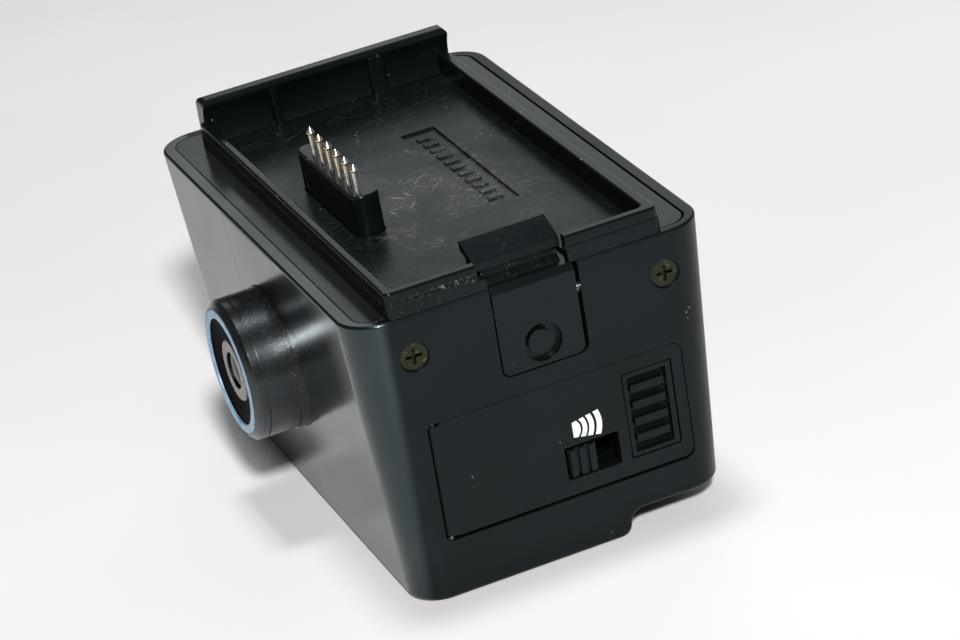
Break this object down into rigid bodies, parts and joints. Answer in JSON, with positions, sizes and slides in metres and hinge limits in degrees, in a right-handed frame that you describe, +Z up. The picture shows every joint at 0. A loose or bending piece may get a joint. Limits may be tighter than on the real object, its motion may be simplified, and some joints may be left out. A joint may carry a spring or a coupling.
{
  "type": "action camera",
  "caption": "Small boxy action camera with a side lens, a top docking cradle with sprung contacts, a front snap latch and a hinged service door.",
  "frame": {"origin": "on the flat base, straight below the crossing of the lens axis with the middle plane of the housing", "axes": "+Z up, lens looks along -X, latch and service door face -Y"},
  "size_m": [0.0573, 0.0826, 0.0535],
  "materials": {
    "housing_black": "fine grained moulded black plastic",
    "cradle_black": "semi-gloss black moulding with scuffs",
    "latch_black": "semi-gloss black moulding",
    "knob_black": "fine matte black plastic",
    "barrel_black": "satin black coating over metal",
    "ring_blue": "pale blue ring",
    "mask_black": "flat black",
    "retainer_grey": "grey beige ring",
    "lens_glass": "coated dark glass",
    "filter_glass": "blue green filter glass",
    "screw_bronze": "dull bronze plated steel",
    "screw_steel": "plated steel",
    "pin_steel": "ground steel",
    "spring_steel": "spring wire",
    "contact_gold": "gold over nickel plating, worn",
    "print_white": "printed white ink",
    "seal_rubber": "soft black rubber",
    "inner_plastic": "plain black plastic",
    "circuit_board": "green solder mask",
    "chip_black": "moulded resin",
    "socket_steel": "bright plated sheet steel",
    "sensor_face": "sensor cover glass",
    "flex_film": "amber polyimide film",
    "battery_wrap": "shrink wrap"
  },
  "bodies": {
    "body": {"housing": "housing_black", "lens_panel": "housing_black", "cradle": "cradle_black", "cradle_screws": "screw_bronze", "latch_pin": "pin_steel", "contact_block": "latch_black", "door_hinge_pin": "pin_steel", "lens_barrel": "barrel_black", "lens_front_ring": "ring_blue", "lens_mask": "mask_black", "lens_retainer": "retainer_grey", "lens_front_element": "lens_glass", "spring_keeper": "inner_plastic", "contact_board": "circuit_board", "port_bezel": "inner_plastic", "door_seal": "seal_rubber", "sound_switch_body": "inner_plastic", "lens_cell": "barrel_black", "lens_rear_element": "lens_glass", "lens_oring": "seal_rubber", "lens_holder": "inner_plastic", "ir_filter": "filter_glass", "image_sensor": "sensor_face", "sensor_board": "circuit_board", "sensor_flex": "flex_film", "main_board": "circuit_board", "board_screws": "screw_steel", "board_chips": "chip_black", "usb_socket": "socket_steel", "card_board": "circuit_board", "card_socket": "socket_steel", "buzzer": "chip_black", "microphone": "socket_steel", "battery_pack": "battery_wrap", "battery_tray": "inner_plastic", "contact_flex": "flex_film", "contact_spring_1": "spring_steel", "contact_spring_2": "spring_steel", "contact_spring_3": "spring_steel", "contact_spring_4": "spring_steel", "contact_spring_5": "spring_steel", "contact_spring_6": "spring_steel"},
    "latch": {"release_latch": "latch_black", "latch_spring": "spring_steel"},
    "door": {"access_door": "housing_black", "sound_mark": "print_white"},
    "release": {"door_release": "housing_black"},
    "knob": {"sound_knob": "knob_black"},
    "pin_1": {"contact_pin_1": "contact_gold"},
    "pin_2": {"contact_pin_2": "contact_gold"},
    "pin_3": {"contact_pin_3": "contact_gold"},
    "pin_4": {"contact_pin_4": "contact_gold"},
    "pin_5": {"contact_pin_5": "contact_gold"},
    "pin_6": {"contact_pin_6": "contact_gold"}
  },
  "joints": [
    {"name": "latch_tilt", "type": "hinge", "parent": "body", "child": "latch", "pos_m": [0, -0.0393, 0.0382], "axis": [1, 0, 0], "range_deg": [0, 8], "stiffness_Nm_per_rad": 0.12},
    {"name": "door_swing", "type": "hinge", "parent": "body", "child": "door", "pos_m": [-0.01655, -0.03912, 0.01767], "axis": [0, 0.0549, -0.9985], "range_deg": [0, 85]},
    {"name": "door_release_press", "type": "slide", "parent": "door", "child": "release", "axis": [0, 0.9985, 0.0549], "range_m": [0, 0.0006], "stiffness_N_per_m": 1500},
    {"name": "sound_switch_slide", "type": "slide", "parent": "body", "child": "knob", "axis": [1, 0, 0], "range_m": [0, 0.003]},
    {"name": "contact_press_1", "type": "slide", "parent": "body", "child": "pin_1", "axis": [0, 0, -1], "range_m": [0, 0.0015], "stiffness_N_per_m": 500, "deforming": ["contact_spring_1"]},
    {"name": "contact_press_2", "type": "slide", "parent": "body", "child": "pin_2", "axis": [0, 0, -1], "range_m": [0, 0.0015], "stiffness_N_per_m": 500, "deforming": ["contact_spring_2"]},
    {"name": "contact_press_3", "type": "slide", "parent": "body", "child": "pin_3", "axis": [0, 0, -1], "range_m": [0, 0.0015], "stiffness_N_per_m": 500, "deforming": ["contact_spring_3"]},
    {"name": "contact_press_4", "type": "slide", "parent": "body", "child": "pin_4", "axis": [0, 0, -1], "range_m": [0, 0.0015], "stiffness_N_per_m": 500, "deforming": ["contact_spring_4"]},
    {"name": "contact_press_5", "type": "slide", "parent": "body", "child": "pin_5", "axis": [0, 0, -1], "range_m": [0, 0.0015], "stiffness_N_per_m": 500, "deforming": ["contact_spring_5"]},
    {"name": "contact_press_6", "type": "slide", "parent": "body", "child": "pin_6", "axis": [0, 0, -1], "range_m": [0, 0.0015], "stiffness_N_per_m": 500, "deforming": ["contact_spring_6"]}
  ]
}
